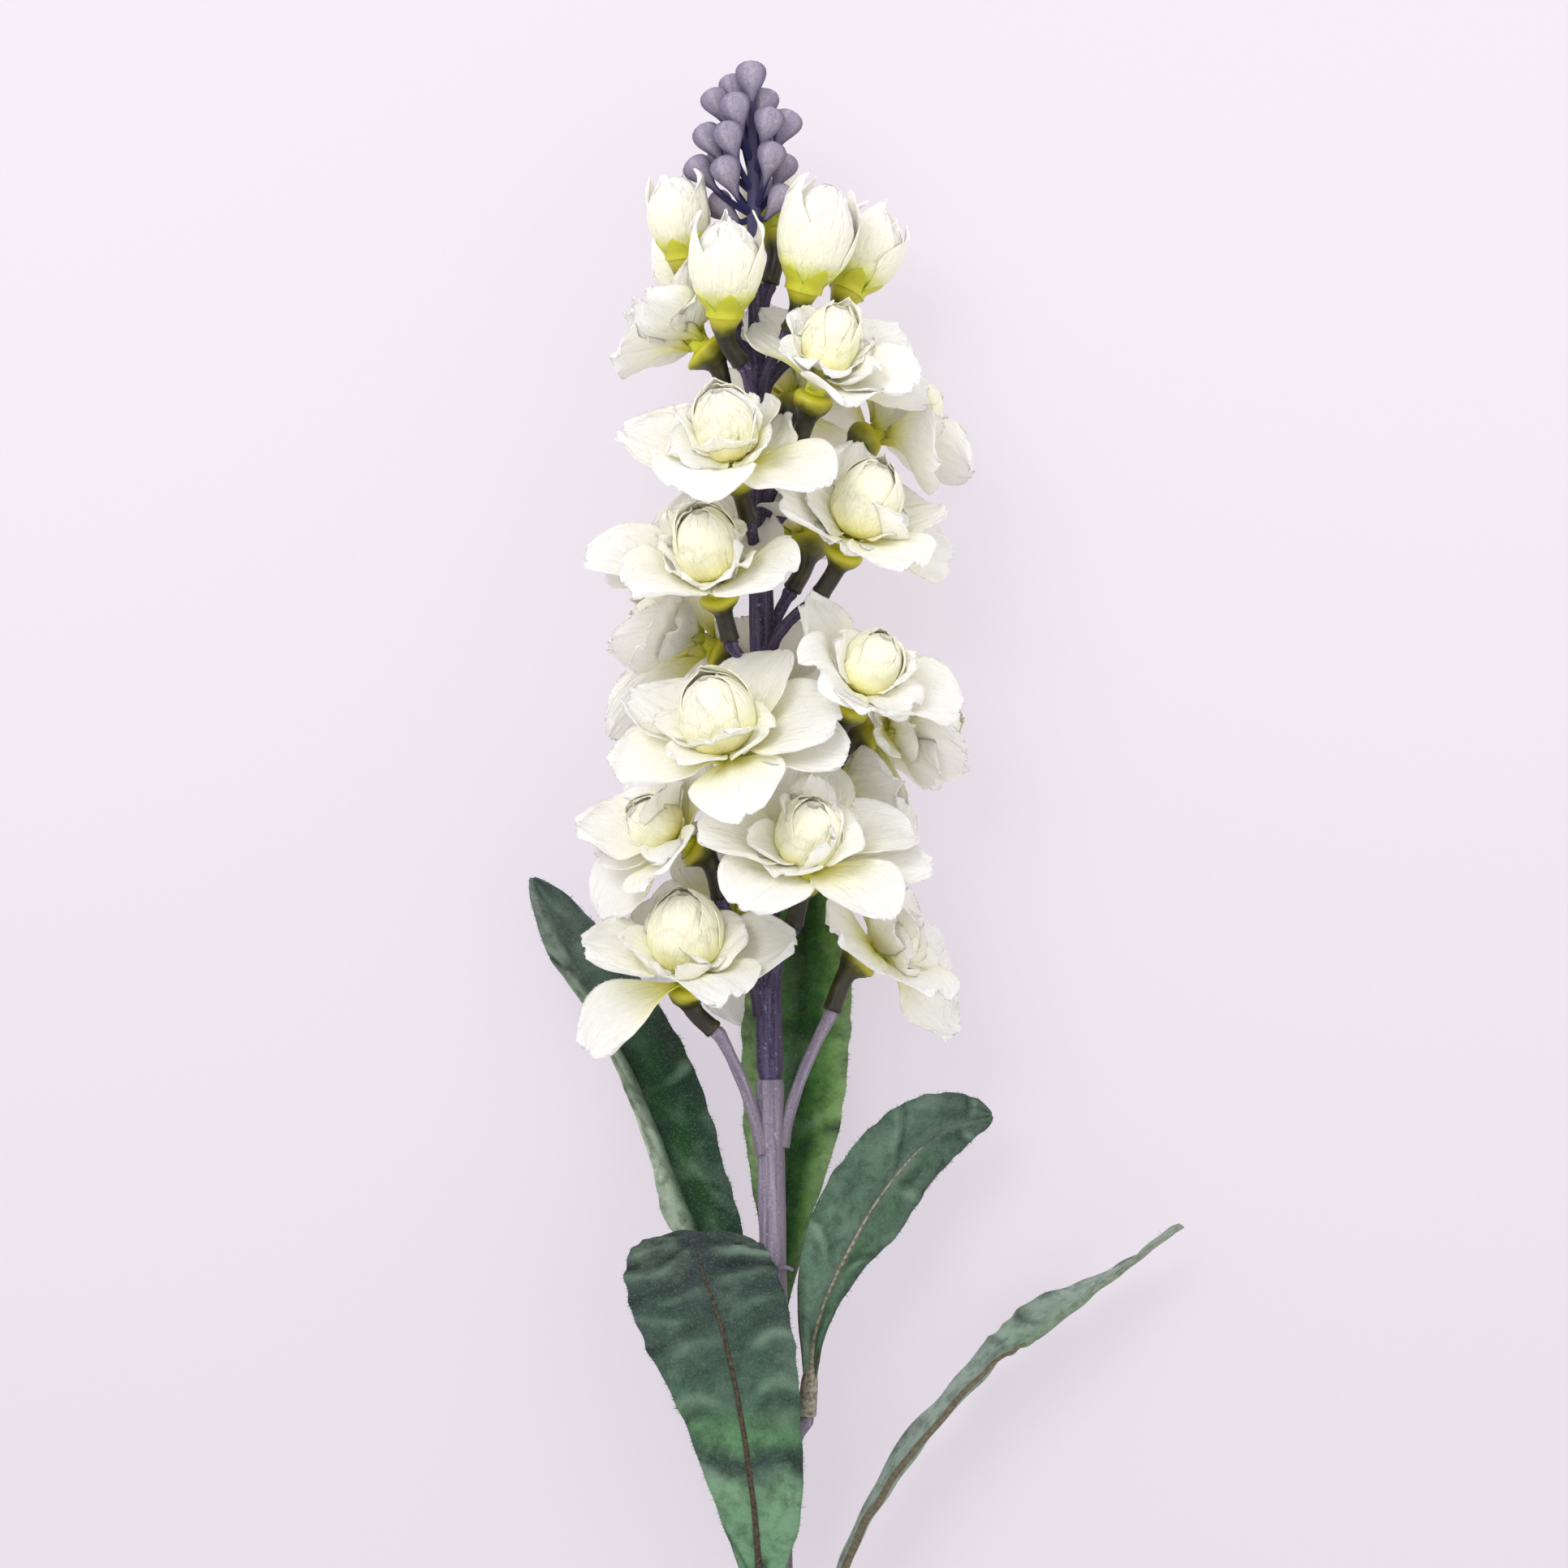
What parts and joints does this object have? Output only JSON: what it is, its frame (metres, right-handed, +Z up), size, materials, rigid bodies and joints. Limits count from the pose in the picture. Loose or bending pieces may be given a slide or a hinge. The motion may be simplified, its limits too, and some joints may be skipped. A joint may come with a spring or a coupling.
{
  "type": "artificial stock flower stem",
  "caption": "Artificial stock stem lying down: a wired stem with leaves, and a spike of white cloth blooms on side pegs below a cluster of flocked buds.",
  "frame": {"origin": "middle of the stem's outer box on the surface that it lies on", "axes": "+Y along the stem from its cut end to its tip, +Z up from the surface, +X to the right as the stem is seen from above with its tip away from the viewer"},
  "size_m": [0.1634, 0.6217, 0.0832],
  "materials": {
    "petals": "matt woven cloth",
    "calyx": "satin moulded",
    "stem": "flocked",
    "spike": "flocked",
    "wire": "drawn",
    "leaves": "flocked felt",
    "buds": "flocked"
  },
  "bodies": {
    "root": {"bud_tip": "buds", "calyx_back_left": "calyx", "calyx_back_middle": "calyx", "calyx_back_right": "calyx", "calyx_base_back": "calyx", "calyx_base_left": "calyx", "calyx_base_right": "calyx", "calyx_bud_back": "calyx", "calyx_bud_back_left": "calyx", "calyx_bud_far_right": "calyx", "calyx_bud_left": "calyx", "calyx_bud_middle": "calyx", "calyx_bud_right": "calyx", "calyx_front_left": "calyx", "calyx_front_right": "calyx", "calyx_low_left": "calyx", "calyx_low_right": "calyx", "calyx_mid_left": "calyx", "calyx_mid_left_top": "calyx", "calyx_mid_right": "calyx", "calyx_under_high": "calyx", "calyx_under_low": "calyx", "calyx_under_middle": "calyx", "calyx_up_far_right": "calyx", "calyx_up_left": "calyx", "calyx_up_right": "calyx", "leaf_back": "leaves", "leaf_front": "leaves", "leaf_left": "leaves", "leaf_low_right": "leaves", "leaf_right": "leaves", "petals_back_left": "petals", "petals_back_middle": "petals", "petals_back_right": "petals", "petals_base_back": "petals", "petals_base_left": "petals", "petals_base_right": "petals", "petals_bud_back": "petals", "petals_bud_back_left": "petals", "petals_bud_far_right": "petals", "petals_bud_left": "petals", "petals_bud_middle": "petals", "petals_bud_right": "petals", "petals_front_left": "petals", "petals_front_right": "petals", "petals_low_left": "petals", "petals_low_right": "petals", "petals_mid_left": "petals", "petals_mid_left_top": "petals", "petals_mid_right": "petals", "petals_under_high": "petals", "petals_under_low": "petals", "petals_under_middle": "petals", "petals_up_far_right": "petals", "petals_up_left": "petals", "petals_up_right": "petals", "stem_lower": "stem", "stem_spike": "spike", "stem_wire": "wire"}
  },
  "joints": []
}
